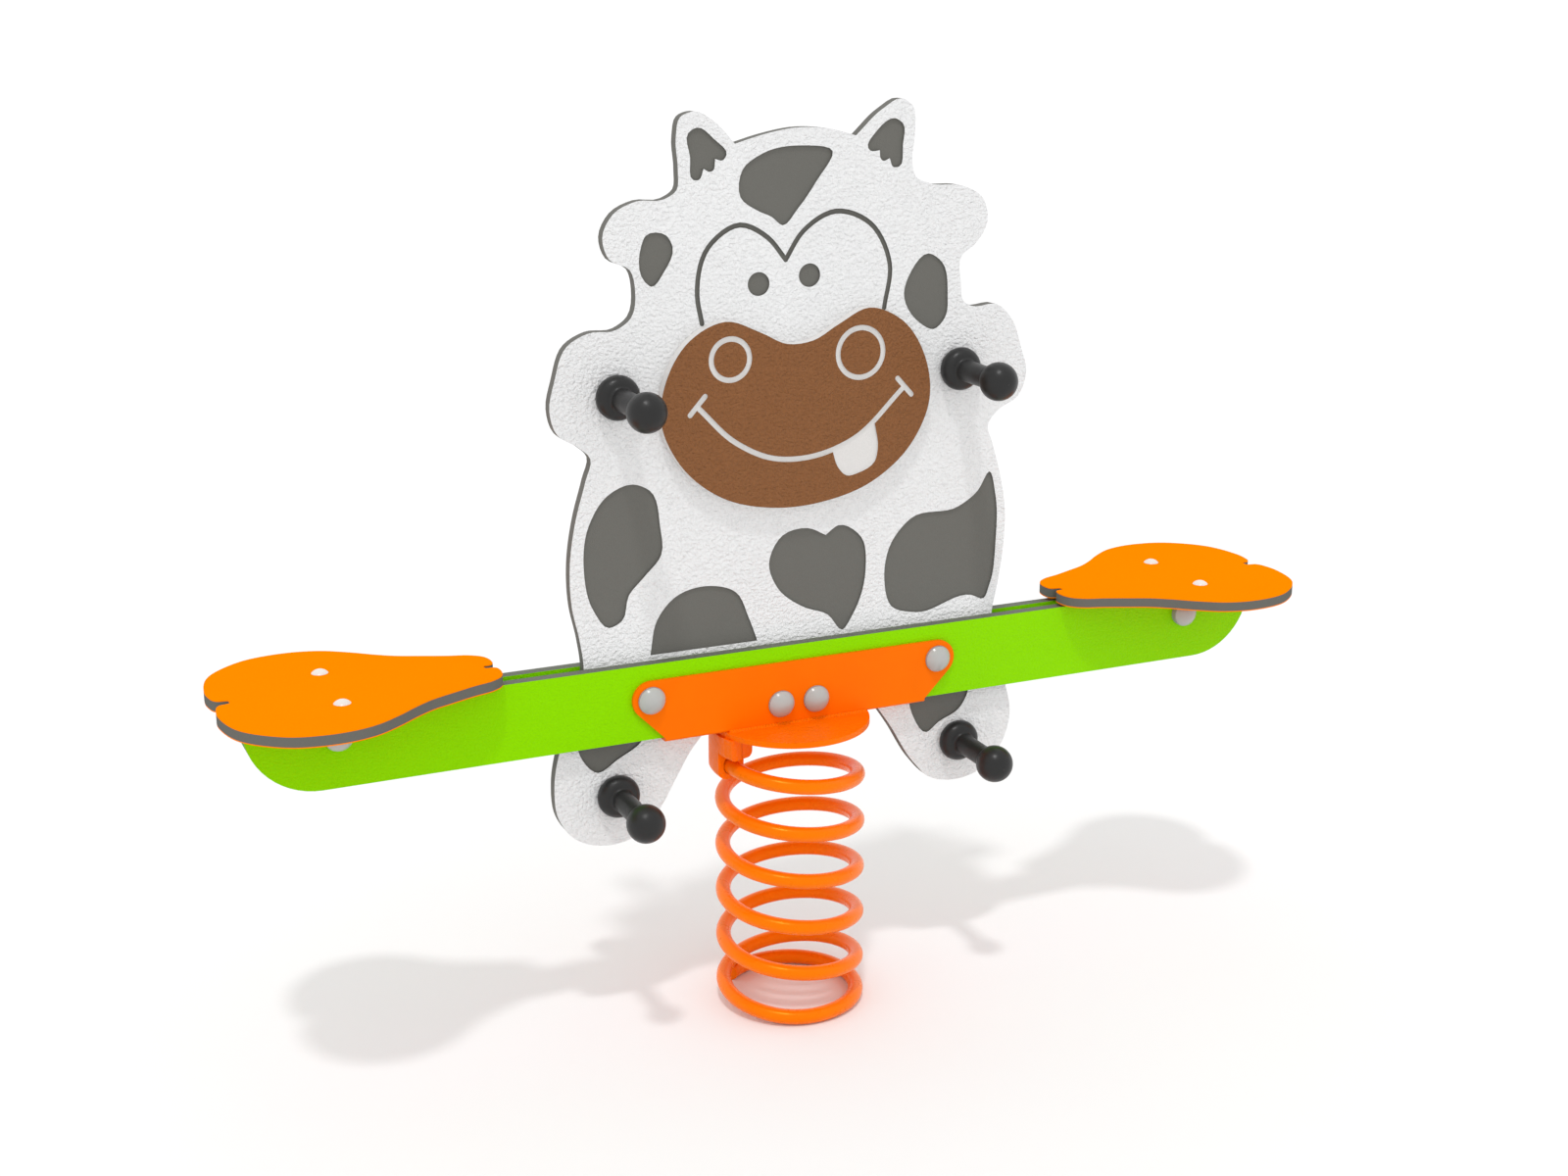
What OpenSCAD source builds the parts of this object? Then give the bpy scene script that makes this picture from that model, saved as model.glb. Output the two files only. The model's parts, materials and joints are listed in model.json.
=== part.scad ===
// Two-seat spring seesaw with a cow-shaped panel. X runs along the beams, +Z is up and the
// origin is on the ground at the axis of the spring. The side with -Y is called the front.

/* [Spring] */
// Diameter of the spring wire
wire_d = 20; // [14:1:24]
// Outside diameter of the coil
coil_od = 200; // [170:1:230]
// Height of the coil from the ground to the wire's upper end
spring_h = 395.7; // [320:0.1:480]
// Turns that are free to bend
active_turns = 5.7; // [4.7:0.1:6.5]
// Flat arc that closes the foot of the coil, in degrees
closed_arc = 245; // [180:1:246]
// Direction of the wire's upper end, in degrees from +X
leave_angle = -6; // [-10:1:0]

/* [Spring head] */
// Diameter of the head disc
disc_d = 210; // [200:1:240]
// Thickness of the head disc
disc_t = 8; // [6:0.5:12]
// Gap between the wire's upper end and the disc
turn_gap = 0.3; // [0.2:0.1:1]
// Clearance round the wire in the clamps
wire_gap = 0.8; // [0.7:0.1:1.2]
// Width of the joint between a clamp's hood and its jaw
clamp_split = 1; // [0.6:0.1:2]
// Wall of a clamp round the wire
clamp_wall = 9; // [7:0.5:10]
// Half of the angle over which a clamp grips the wire
clamp_half = 10; // [8:1:14]
// Middle of the tall clamp, in degrees from +X
tall_clamp_angle = 177; // [172:1:182]
// Angle by which the tall clamp's upper block reaches forward past its grip
block_reach = 15; // [10:1:20]
// Middle of the short clamp, in degrees from +X
short_clamp_angle = 24; // [20:1:28]

/* [Bracket] */
// Thickness of the bracket's steel
bracket_t = 5; // [4:0.5:6]
// Half of the bracket's length along its web
web_half = 186; // [180:1:190]
// Distance of the end bolts from the middle
end_bolt_x = 204; // [200:1:210]
// Height of the end bolts above the beams' bottom edge
end_bolt_z = 54; // [48:1:60]
// Distance of the middle bolts from the middle
mid_bolt_x = 25; // [22:1:32]
// Height of the middle bolts above the beams' bottom edge
mid_bolt_z = 23.5; // [22:0.5:30]
// Radius of the bracket round an end bolt
ear_r = 25; // [22:0.5:28]

/* [Boards] */
// Thickness of the beams and the panel
board_t = 15; // [12:0.5:19]
// Depth of the engraving, through the coloured skin
engrave = 2.5; // [2:0.5:4]
// Width of the engraved lines on the panel
eye_line = 6; // [4:0.2:8]
// Width of the engraved lines on the muzzle
smile_line = 6.6; // [4:0.2:8]
// Thickness of a muzzle plate
muzzle_t = 15; // [12:0.5:19]

/* [Beams] */
// Length of a beam
beam_l = 1420; // [1360:1:1700]
// Height of a beam
beam_h = 100; // [94:1:120]
// Radius of a beam's lower corners
beam_r = 90; // [60:1:92]

/* [Seats] */
// Thickness of a seat board
seat_t = 15; // [12:0.5:19]
// Distance of the seat fixings from the middle
seat_x = 599; // [570:1:700]
// Distance between the two screws of a seat
seat_screw_pitch = 120; // [100:1:140]
// Depth of the seat bolt below the beams' top edge
seat_bolt_drop = 33; // [30:1:40]
// Thickness of the seat bracket's steel
carrier_t = 4; // [3:0.5:6]

/* [Grips and footrests] */
// Distance of the hand grips from the middle
grip_x = 235.5; // [225:0.5:245]
// Height of the hand grips above the beams' bottom edge
grip_z = 441; // [425:1:450]
// Distance of the footrests from the middle
foot_x = 246.5; // [235:0.5:255]
// Depth of the footrests below the beams' bottom edge
foot_drop = 73; // [60:1:85]
// Diameter of a peg's rounded flange
flange_d = 56; // [52:1:62]
// Diameter of a peg's shaft
shaft_d = 28; // [26:0.5:32]
// Diameter of a peg's ball
ball_d = 49; // [44:0.5:56]
// Length of a peg from the panel to its tip
peg_l = 130; // [110:1:150]
// Diameter of the rods inside the pegs
rod_d = 12; // [10:0.5:14]

/* [Fasteners] */
// Diameter of the through bolts and the screws
bolt_d = 10; // [8:0.5:12]
// Clearance on the diameter of every bolt hole
hole_gap = 0.5; // [0.2:0.1:1]
// Diameter of the bolt caps
cap_d = 36; // [33:0.5:38]
// Height of a bolt cap's dome
cap_h = 10.5; // [10:0.5:14]
// Height of the cap's foot on the bracket bolts
low_foot = 2; // [1.5:0.5:4]
// Height of the cap's foot on the seat bolts
tall_foot = 8; // [6:0.5:12]

/* [Hidden] */
$fn = 64;

coil_r = (coil_od - wire_d) / 2;
pitch = (spring_h - wire_d) / active_turns;
foot_angle = leave_angle + 360 * active_turns;
ramp_half = 20;
ring_step = 12;
wire_sides = 12;

disc_z = spring_h + turn_gap;
web_z = disc_z + disc_t;
rocker_z = web_z + bracket_t;
beams_y = board_t / 2 + board_t;
plate_y = beams_y + bracket_t;
bend_r = 4;
bore_d = bolt_d + hole_gap;
hex_across = 1.6 * bolt_d;
head_h = 0.64 * bolt_d;
nut_h = 0.6 * bolt_d;
bolt_tail = 1;
cap_wall = 1.2;
through = 400;

bracket_bolts_at = [for (side = [-1, 1]) each [[side * end_bolt_x, end_bolt_z], [side * mid_bolt_x, mid_bolt_z]]];
seat_bolt_z = beam_h - seat_bolt_drop;
seat_bolts_at = [for (side = [-1, 1]) [side * seat_x, seat_bolt_z]];
grips_at = [for (side = [-1, 1]) [side * grip_x, grip_z]];
feet_at = [for (side = [-1, 1]) [side * foot_x, -foot_drop]];
muzzle_studs_at = [[-130, 330], [130, 340], [-130, 460], [135, 460]];
muzzle_stud_d = 8;
muzzle_stud_bite = 10;
stud_gap = 0.2;

// ---- outlines ----

// A point of an outline is [x, z], or [x, z, 1] where the outline has a sharp corner.
function flat(p) = [p[0], p[1]];
function gap(a, b) = norm(flat(b) - flat(a));
function way(a, b) = (flat(b) - flat(a)) / gap(a, b);
function heading(a, p, b) = (way(a, p) * gap(p, b) + way(p, b) * gap(a, p)) / (gap(a, p) + gap(p, b));
function leaving(a, p, b) = len(p) > 2 ? way(p, b) : heading(a, p, b);
function arriving(a, p, b) = len(p) > 2 ? way(a, p) : heading(a, p, b);
function blend(p, q, u, v, t) =
    flat(p) * (2 * t * t * t - 3 * t * t + 1) + u * (t * t * t - 2 * t * t + t)
    + flat(q) * (3 * t * t - 2 * t * t * t) + v * (t * t * t - t * t);
function span_steps(p, q) = max(4, ceil(gap(p, q) / 9));
function span(a, p, q, b) =
    let (l = gap(p, q), n = span_steps(p, q))
    [for (i = [0:n - 1]) blend(p, q, leaving(a, p, q) * l, arriving(p, q, b) * l, i / n)];
// A closed smooth curve through its points
function closed_curve(pts) =
    let (n = len(pts))
    [for (i = [0:n - 1]) each span(pts[(i + n - 1) % n], pts[i], pts[(i + 1) % n], pts[(i + 2) % n])];
// An open smooth curve through its points
function open_curve(pts) =
    let (n = len(pts), ends = concat([2 * pts[0] - pts[1]], pts, [2 * pts[n - 1] - pts[n - 2]]))
    concat([for (i = [0:n - 2]) each span(ends[i], ends[i + 1], ends[i + 2], ends[i + 3])], [pts[n - 1]]);
function side_step(pts, i, d) =
    let (a = pts[max(i - 1, 0)], b = pts[min(i + 1, len(pts) - 1)], w = way(a, b))
    flat(pts[i]) + d * [-w[1], w[0]];
// The outline of a line of the given width along an open curve
function band(pts, w) =
    concat([for (i = [0:len(pts) - 1]) side_step(pts, i, w / 2)],
           [for (i = [len(pts) - 1:-1:0]) side_step(pts, i, -w / 2)]);
function mirrored(pts) = [for (i = [len(pts) - 1:-1:0]) [pts[i][0], -pts[i][1]]];

// The cow, from the middle of its head round its left side; heights start at the beams' bottom edge.
cow_left = [
    [9, 753], [-39, 746], [-77, 736, 1], [-104, 763], [-129, 775], [-147, 769], [-153, 746],
    [-151, 707], [-153, 684], [-169, 674], [-204, 673], [-234, 659], [-248, 632], [-240, 606],
    [-214, 592], [-208, 567], [-214, 535], [-233, 522], [-269, 520], [-296, 506], [-313, 464],
    [-320, 430], [-311, 400], [-287, 384], [-270, 367], [-277, 340], [-291, 292], [-300, 237],
    [-299, 182], [-290, 137], [-286, 97], [-300, 45], [-321, -5], [-329, -50], [-324, -96],
    [-302, -126], [-262, -141], [-222, -135], [-192, -108], [-164, -63], [-144, -30]
];
cow_right = [
    [144, -38], [180, -96], [205, -122], [252, -133], [295, -120], [321, -87], [331, -48],
    [322, -5], [304, 45], [297, 97], [305, 142], [312, 192], [313, 243], [305, 288], [290, 338],
    [283, 361], [299, 381], [327, 396], [339, 426], [330, 461], [312, 503], [292, 520], [252, 521],
    [243, 526], [237, 553], [237, 585], [257, 600], [274, 628], [266, 658], [236, 674], [189, 679],
    [169, 688], [164, 705], [167, 743], [163, 775], [148, 784], [121, 772], [85, 741, 1], [49, 750]
];
crotch_x = 118;
crotch_z = 0;
cow_outline = concat(cow_left, [[-crotch_x, crotch_z, 1], [crotch_x, crotch_z, 1]], cow_right);

cow_spots = [
    // inside of the left ear
    [[-137, 750], [-126, 756], [-104, 742], [-88, 723], [-93, 717], [-103, 719, 1], [-106, 705],
     [-110, 704], [-118, 708, 1], [-124, 695], [-131, 695], [-135, 722]],
    // inside of the right ear
    [[102, 725], [113, 745], [139, 760], [150, 753], [150, 728], [145, 701], [137, 701],
     [132, 712, 1], [123, 709], [120, 711], [118, 722, 1], [105, 722]],
    // forehead
    [[53, 723], [11, 731], [-41, 723], [-67, 705], [-70, 672], [-47, 655], [-29, 647], [-14, 636],
     [6, 655], [31, 687]],
    // cheeks
    [[-199, 620], [-193, 632], [-167, 631], [-159, 617], [-171, 587], [-187, 571], [-195, 577]],
    [[189, 591], [209, 579], [218, 538], [215, 508], [199, 494], [179, 503], [155, 543], [161, 563]],
    // sides of the body
    [[-216, 330], [-194, 320], [-181, 272], [-180, 237], [-204, 210], [-224, 189], [-234, 157],
     [-251, 150], [-271, 175], [-282, 227], [-274, 284], [-249, 319]],
    [[287, 298], [298, 263], [300, 203], [292, 140], [284, 123], [264, 130], [181, 116],
     [144, 129], [133, 167], [143, 217], [171, 246], [242, 255], [270, 273]],
    // belly
    [[-197, 107, 1], [-187, 152], [-164, 178], [-114, 188], [-79, 175], [-62, 140], [-50, 107, 1]],
    [[47, 237, 1], [21, 249], [-14, 243], [-33, 208], [-21, 174], [16, 144], [51, 129], [72, 106],
     [87, 125], [105, 182], [98, 229], [65, 248]],
    // legs
    [[-297, 17], [-294, -13], [-270, -40], [-244, -26], [-211, -6], [-199, 17]],
    [[173, 17], [178, -27], [201, -57], [219, -45], [250, -30], [263, -8], [264, 17]]
];
eye_arcs = [
    [[-122, 522], [-128, 557], [-113, 614], [-71, 639], [-34, 622], [-10, 594]],
    [[-10, 594], [13, 627], [58, 650], [106, 633], [134, 581], [127, 526]]
];
pupils_at = [[-46.5, 566], [22.5, 573]];
pupil_r = 14.5;
// How far the round ends of the eye lines stand out past the lines' corners
end_swell = 0.1;

muzzle_outline = [
    [-97, 525], [-144, 505], [-176, 457], [-183, 407], [-159, 352], [-104, 305], [-34, 285], [36, 286],
    [106, 306], [161, 350], [187, 408], [179, 463], [146, 511], [98, 530], [56, 512], [21, 494],
    [-14, 492], [-49, 508]
];
smile_line_at = [[-136, 423], [-84, 373], [-34, 349], [16, 346], [76, 363], [150, 426]];
smile_ends = [[[-145, 413], [-125, 435]], [[140, 437], [160, 415]]];
tooth_outline = [[49, 350, 1], [56, 330], [69, 317], [86, 319], [109, 332], [113, 348], [108, 382, 1]];
// Each nostril is [x, z, radius of the middle of its ring]
nostrils = [[-91, 478, 25.5], [87, 474, 31.5]];

// Half of a seat's outline, from its notch at the outer end to its notch at the inner end
seat_half = [
    [718, 5, 1], [731, 9], [738, 30], [737, 60], [724, 102], [700, 129], [672, 147], [642, 154],
    [611, 154], [581, 146], [548, 125], [520, 102], [500, 88], [470, 74], [440, 61], [415, 52],
    [401, 40], [396, 22], [399, 7], [411, 4, 1]
];
seat_outline = concat(seat_half, mirrored(seat_half));
seat_mid = 599;

// ---- shared shapes ----

// Stands an outline drawn in X and Z on its edge, centred on the plane at y
module upright(y, t) {
    translate([0, y + t / 2, 0])
        rotate([90, 0, 0])
            linear_extrude(t)
                children();
}

// Cylinders along Y at a list of [x, z] places
module cross_bores(places, d, y0 = -through / 2, y1 = through / 2) {
    for (p = places)
        translate([p[0], y1, p[1]])
            rotate([90, 0, 0])
                cylinder(d = d, h = y1 - y0);
}

// Puts a shape drawn along +Z on the front (side = -1) or rear (side = 1) face at a distance y
module on_face(places, side, y) {
    for (p = places)
        translate([p[0], side * y, p[1]])
            rotate([-side * 90, 0, 0])
                children();
}

module rounded_plate(size, r) {
    translate([-size[0] / 2 + r, -size[1] / 2])
        square([size[0] - 2 * r, size[1]]);
    translate([-size[0] / 2, -size[1] / 2 + r])
        square([size[0], size[1] - 2 * r]);
    for (sx = [-1, 1], sy = [-1, 1])
        translate([sx * (size[0] / 2 - r), sy * (size[1] / 2 - r)])
            circle(r);
}

module hexagon(across, h) {
    cylinder(d = across / cos(30), h = h, $fn = 6);
}

// ---- spring ----

// Angle turned past the start of a slope that is eased in over a short arc
function ramp(a) = a < -ramp_half ? 0 : a > ramp_half ? a : (a + ramp_half) * (a + ramp_half) / (4 * ramp_half);
function wire_z(a) = spring_h - wire_d / 2 - pitch / 360 * (a - leave_angle - ramp(a - foot_angle));
wire_angles = let (a1 = foot_angle + closed_arc, n = round((a1 - leave_angle) / ring_step))
    [for (i = [0:n]) leave_angle + (a1 - leave_angle) * i / n];

module spring() {
    rings = len(wire_angles);
    points = [for (a = wire_angles, k = [0:wire_sides - 1])
        let (r = coil_r + wire_d / 2 * cos(k * 360 / wire_sides))
        [r * cos(a), r * sin(a), wire_z(a) + wire_d / 2 * sin(k * 360 / wire_sides)]];
    skin = [for (i = [0:rings - 2], k = [0:wire_sides - 1])
        let (k2 = (k + 1) % wire_sides, i2 = i + 1)
        [i * wire_sides + k, i * wire_sides + k2, i2 * wire_sides + k2, i2 * wire_sides + k]];
    first = [for (k = [wire_sides - 1:-1:0]) k];
    last = [for (k = [0:wire_sides - 1]) (rings - 1) * wire_sides + k];
    color("darkorange")
        polyhedron(points, concat(skin, [first, last]), convexity = 10);
}

// ---- spring head ----

clamp_in = coil_r - wire_d / 2 - clamp_wall;
clamp_out = coil_r + wire_d / 2 + clamp_wall;
clamp_r = 13;
block_r = 8;
lug_t = 10;
lug_w = 16;
lug_r = clamp_in - lug_w / 2;
lug_screw_d = 8;
channel_r = wire_d / 2 + wire_gap;
clamp_bolt_d = 8;
clamp_bolt_gap = 0.5;
bolt_space = clamp_bolt_d / 2 + 1.5;
clamp_head = 13;
clamp_head_h = 5.3;

// Lowest and highest middle of the wire inside a clamp
function low_wire(mid) = wire_z(mid + clamp_half);
function high_wire(mid) = wire_z(mid - clamp_half);
// The tall clamp's bolt passes over the wire and the short clamp's bolt under it
tall_bolt_z = high_wire(tall_clamp_angle) + channel_r + bolt_space;
short_bolt_z = low_wire(short_clamp_angle) - channel_r - bolt_space;
tall_clamp_z = low_wire(tall_clamp_angle) - channel_r - clamp_wall + 3;
short_clamp_z = short_bolt_z - bolt_space - 3;
block_z = high_wire(tall_clamp_angle) + channel_r + 2;
block_mid = tall_clamp_angle + block_reach / 2;
block_half = clamp_half + block_reach / 2;

// Cross-section of the room for the wire inside a clamp
module channel(mid) {
    z0 = low_wire(mid);
    z1 = high_wire(mid);
    translate([coil_r, z0])
        circle(channel_r);
    translate([coil_r, z1])
        circle(channel_r);
    translate([coil_r - channel_r, z0])
        square([2 * channel_r, z1 - z0]);
}

module sector(mid, half) {
    rotate([0, 0, mid - half])
        rotate_extrude(angle = 2 * half, $fn = 96)
            children();
}

// Cross-section of a block that hangs from the disc with rounded lower corners
module hanging_block(z, r) {
    translate([clamp_in + r, z])
        square([clamp_out - clamp_in - 2 * r, disc_z - z]);
    translate([clamp_in, z + r])
        square([clamp_out - clamp_in, disc_z - z - r]);
    for (x = [clamp_in + r, clamp_out - r])
        translate([x, z + r])
            circle(r);
}

// Everything outside (side = 1) or inside (side = -1) the joint between hood and jaw
module clamp_side(side) {
    translate([side > 0 ? coil_r + clamp_split / 2 : clamp_in - lug_w, 0])
        square([side > 0 ? clamp_wall + wire_d : coil_r - clamp_split / 2 - clamp_in + lug_w, disc_z]);
}

module lug_section() {
    translate([clamp_in - lug_w, disc_z - lug_t])
        square([lug_w + 1, lug_t]);
}

module clamp_bore(mid, z, d, r0, r1) {
    rotate([0, 0, mid])
        translate([r0, 0, z])
            rotate([0, 90, 0])
                cylinder(d = d, h = r1 - r0);
}

module lug_bore(mid, d, z0, z1) {
    rotate([0, 0, mid])
        translate([lug_r, 0, z0])
            cylinder(d = d, h = z1 - z0);
}

// Half of the tall clamp: a block under the disc and a hook that grips the wire
module tall_half(side) {
    sector(block_mid, block_half)
        intersection() {
            hanging_block(block_z, block_r);
            clamp_side(side);
        }
    sector(tall_clamp_angle, clamp_half)
        difference() {
            intersection() {
                hanging_block(tall_clamp_z, clamp_r);
                clamp_side(side);
            }
            channel(tall_clamp_angle);
        }
}

module short_half(side) {
    sector(short_clamp_angle, clamp_half)
        difference() {
            intersection() {
                hanging_block(short_clamp_z, clamp_r);
                clamp_side(side);
            }
            channel(short_clamp_angle);
        }
}

module tall_clamp_hood() {
    color("orangered")
        difference() {
            tall_half(1);
            clamp_bore(tall_clamp_angle, tall_bolt_z, clamp_bolt_d + stud_gap, coil_r, clamp_out - 5);
        }
}

module short_clamp_hood() {
    color("orangered")
        difference() {
            short_half(1);
            clamp_bore(short_clamp_angle, short_bolt_z, clamp_bolt_d + stud_gap, coil_r, clamp_out - 5);
        }
}

module tall_clamp_jaw() {
    color("orangered")
        difference() {
            union() {
                tall_half(-1);
                sector(tall_clamp_angle, clamp_half)
                    lug_section();
            }
            clamp_bore(tall_clamp_angle, tall_bolt_z, clamp_bolt_d + clamp_bolt_gap, clamp_in - 5, coil_r);
            lug_bore(tall_clamp_angle, lug_screw_d + hole_gap, disc_z - lug_t - 1, disc_z + 1);
        }
}

module short_clamp_jaw() {
    color("orangered")
        difference() {
            union() {
                short_half(-1);
                sector(short_clamp_angle, clamp_half)
                    lug_section();
            }
            clamp_bore(short_clamp_angle, short_bolt_z, clamp_bolt_d + clamp_bolt_gap, clamp_in - 5, coil_r);
            lug_bore(short_clamp_angle, lug_screw_d + hole_gap, disc_z - lug_t - 1, disc_z + 1);
        }
}

// Bolts that draw each jaw to its hood, with their heads inside the coil
module clamp_bolts() {
    start = sqrt(clamp_in * clamp_in - clamp_head * clamp_head / 2) - 0.1;
    color("silver")
        for (c = [[tall_clamp_angle, tall_bolt_z], [short_clamp_angle, short_bolt_z]])
            rotate([0, 0, c[0]])
                translate([start, 0, c[1]])
                    rotate([0, 90, 0]) {
                        cylinder(d = clamp_bolt_d, h = clamp_out - 6 - start);
                        translate([0, 0, -clamp_head_h])
                            hexagon(clamp_head, clamp_head_h);
                    }
}

// Screws that hold the jaws' lugs up to the disc
module clamp_screws() {
    color("silver")
        for (a = [tall_clamp_angle, short_clamp_angle])
            rotate([0, 0, a])
                translate([lug_r, 0, disc_z - lug_t]) {
                    cylinder(d = lug_screw_d, h = lug_t + disc_t - 0.5);
                    translate([0, 0, -clamp_head_h])
                        hexagon(clamp_head, clamp_head_h);
                }
}

module head_disc() {
    color("orangered")
        difference() {
            translate([0, 0, disc_z])
                cylinder(d = disc_d, h = disc_t, $fn = 128);
            lug_bore(tall_clamp_angle, lug_screw_d + stud_gap, disc_z - 1, disc_z + disc_t + 1);
            lug_bore(short_clamp_angle, lug_screw_d + stud_gap, disc_z - 1, disc_z + disc_t + 1);
        }
}

// ---- bracket ----

// Where the slanted edge from the web's end meets the round end, on the +X side
function slant_end() =
    let (a = [web_half, 0], c = [end_bolt_x, end_bolt_z], d = norm(a - c),
         base = atan2(a[1] - c[1], a[0] - c[0]), turn = acos(ear_r / d))
    c + ear_r * [cos(base + turn), sin(base + turn)];

module bracket_outline() {
    s = slant_end();
    top = end_bolt_z + ear_r;
    polygon([
        [-web_half, -bracket_t - 1], [web_half, -bracket_t - 1], [web_half, 0], s, [end_bolt_x, end_bolt_z],
        [end_bolt_x, top], [-end_bolt_x, top], [-end_bolt_x, end_bolt_z], [-s[0], s[1]], [-web_half, 0]
    ]);
    for (side = [-1, 1])
        translate([side * end_bolt_x, end_bolt_z])
            circle(ear_r);
}

// Cross-section of the folded channel, in Y and Z
module channel_section() {
    top = end_bolt_z + ear_r + 1;
    difference() {
        union() {
            translate([-plate_y, bend_r - bracket_t])
                square([2 * plate_y, top + bracket_t - bend_r]);
            translate([bend_r - plate_y, -bracket_t])
                square([2 * (plate_y - bend_r), bend_r]);
            for (side = [-1, 1])
                translate([side * (plate_y - bend_r), bend_r - bracket_t])
                    circle(bend_r);
        }
        translate([-beams_y, 0])
            square([2 * beams_y, top + 1]);
    }
}

slot_gap = 1;
slot_end = crotch_x - 8;

module rocker_bracket() {
    length = 2 * (end_bolt_x + ear_r);
    color("orangered")
        translate([0, 0, rocker_z])
            difference() {
                intersection() {
                    translate([-length / 2, 0, 0])
                        rotate([90, 0, 90])
                            linear_extrude(length)
                                channel_section();
                    upright(0, 2 * plate_y + 2)
                        bracket_outline();
                }
                cross_bores(bracket_bolts_at, bore_d);
                for (side = [-1, 1])
                    translate([side > 0 ? slot_end : -slot_end - through, -board_t / 2 - slot_gap, -bracket_t - 1])
                        cube([through, board_t + 2 * slot_gap, bracket_t + 2]);
            }
}

weld_w = 3;
weld_gap = 0.05;

// Welds that fill the grooves between the disc and the round lower edges of the bracket
module weld_beads() {
    edge = plate_y + weld_w;
    half = sqrt(disc_d * disc_d / 4 - edge * edge) - 2;
    color("orangered")
        for (turn = [0, 180])
            rotate([0, 0, turn])
                translate([-half, 0, web_z])
                    rotate([90, 0, 90])
                        linear_extrude(2 * half)
                            difference() {
                                polygon([[plate_y - bend_r / 2, 0], [edge, 0], [plate_y, weld_w]]);
                                translate([plate_y - bend_r, bend_r])
                                    circle(bend_r + weld_gap);
                            }
}

// ---- beams ----

top_r = 8;

module beam_outline() {
    x = beam_l / 2;
    translate([-x + beam_r, 0])
        square([beam_l - 2 * beam_r, beam_h]);
    for (side = [-1, 1]) {
        intersection() {
            translate([side * (x - beam_r), beam_r])
                circle(beam_r, $fn = 180);
            translate([side > 0 ? x - beam_r : -x, 0])
                square([beam_r, beam_r]);
        }
        translate([side > 0 ? x - beam_r : -x, beam_r])
            square([beam_r, max(beam_h - beam_r - top_r, 0.01)]);
        translate([side > 0 ? x - beam_r : -x + top_r, beam_h - top_r])
            square([beam_r - top_r, top_r]);
        translate([side * (x - top_r), beam_h - top_r])
            circle(top_r);
    }
}

module beam(y) {
    color("yellowgreen")
        translate([0, 0, rocker_z])
            difference() {
                upright(y, board_t)
                    beam_outline();
                cross_bores(concat(bracket_bolts_at, seat_bolts_at), bore_d);
            }
}

module beam_front() { beam(-board_t); }
module beam_rear() { beam(board_t); }

// ---- cow panel ----

// Everything that is cut into one face of the panel
module cow_engraving() {
    for (spot = cow_spots)
        polygon(closed_curve(spot));
    for (arc = eye_arcs) {
        polygon(band(open_curve(arc), eye_line));
        for (p = [arc[0], arc[len(arc) - 1]])
            translate(p)
                circle(eye_line / 2 + end_swell, $fn = 24);
    }
    for (p = pupils_at)
        translate(p)
            circle(pupil_r);
}

// Places that only the muzzle hides on the face of the panel stay uncut
module cow_panel() {
    color("whitesmoke")
        translate([0, 0, rocker_z])
            difference() {
                upright(0, board_t)
                    polygon(closed_curve(cow_outline));
                for (side = [-1, 1])
                    upright(side * board_t / 2, 2 * engrave)
                        cow_engraving();
                cross_bores(bracket_bolts_at, bore_d);
                cross_bores(concat(grips_at, feet_at), rod_d + stud_gap);
                cross_bores(muzzle_studs_at, muzzle_stud_d + stud_gap);
            }
}

// ---- muzzle ----

module smile_engraving() {
    polygon(band(open_curve(smile_line_at), smile_line));
    for (tick = smile_ends) {
        polygon(band(tick, smile_line));
        for (p = tick)
            translate(p)
                circle(smile_line / 2, $fn = 24);
    }
    polygon(closed_curve(tooth_outline));
    for (n = nostrils)
        translate([n[0], n[1]])
            difference() {
                circle(n[2] + smile_line / 2);
                circle(n[2] - smile_line / 2);
            }
}

module muzzle(side) {
    color("sienna")
        translate([0, 0, rocker_z])
            difference() {
                upright(side * (board_t + muzzle_t) / 2, muzzle_t)
                    polygon(closed_curve(muzzle_outline));
                upright(side * (board_t / 2 + muzzle_t), 2 * engrave)
                    smile_engraving();
                cross_bores(muzzle_studs_at, muzzle_stud_d + stud_gap,
                            -board_t / 2 - muzzle_stud_bite - 1, board_t / 2 + muzzle_stud_bite + 1);
            }
}

module muzzle_front() { muzzle(-1); }
module muzzle_rear() { muzzle(1); }

// Double-ended studs that hold both muzzle plates through the panel
module muzzle_studs() {
    color("silver")
        translate([0, 0, rocker_z])
            cross_bores(muzzle_studs_at, muzzle_stud_d,
                        -board_t / 2 - muzzle_stud_bite, board_t / 2 + muzzle_stud_bite);
}

// ---- grips and footrests ----

flange_mid = 8;
fillet_r = 5;
rod_bite = 60;

// Half of a peg's cross-section: a flange like a flattened ball, the shaft and the ball
module peg_section() {
    shaft_r = shaft_d / 2;
    rim_r = flange_d / 2 - shaft_r;
    z = flange_mid + sqrt((rim_r + fillet_r) * (rim_r + fillet_r) - fillet_r * fillet_r);
    k = rim_r / (rim_r + fillet_r);
    intersection() {
        union() {
            translate([shaft_r, flange_mid])
                circle(rim_r);
            square([shaft_r, peg_l - ball_d / 2]);
            difference() {
                polygon([
                    [shaft_r, flange_mid], [shaft_r + k * fillet_r, flange_mid + k * (z - flange_mid)],
                    [shaft_r + fillet_r, z], [shaft_r, z]
                ]);
                translate([shaft_r + fillet_r, z])
                    circle(fillet_r);
            }
            translate([0, peg_l - ball_d / 2])
                circle(ball_d / 2);
        }
        square([flange_d, peg_l]);
    }
}

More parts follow.
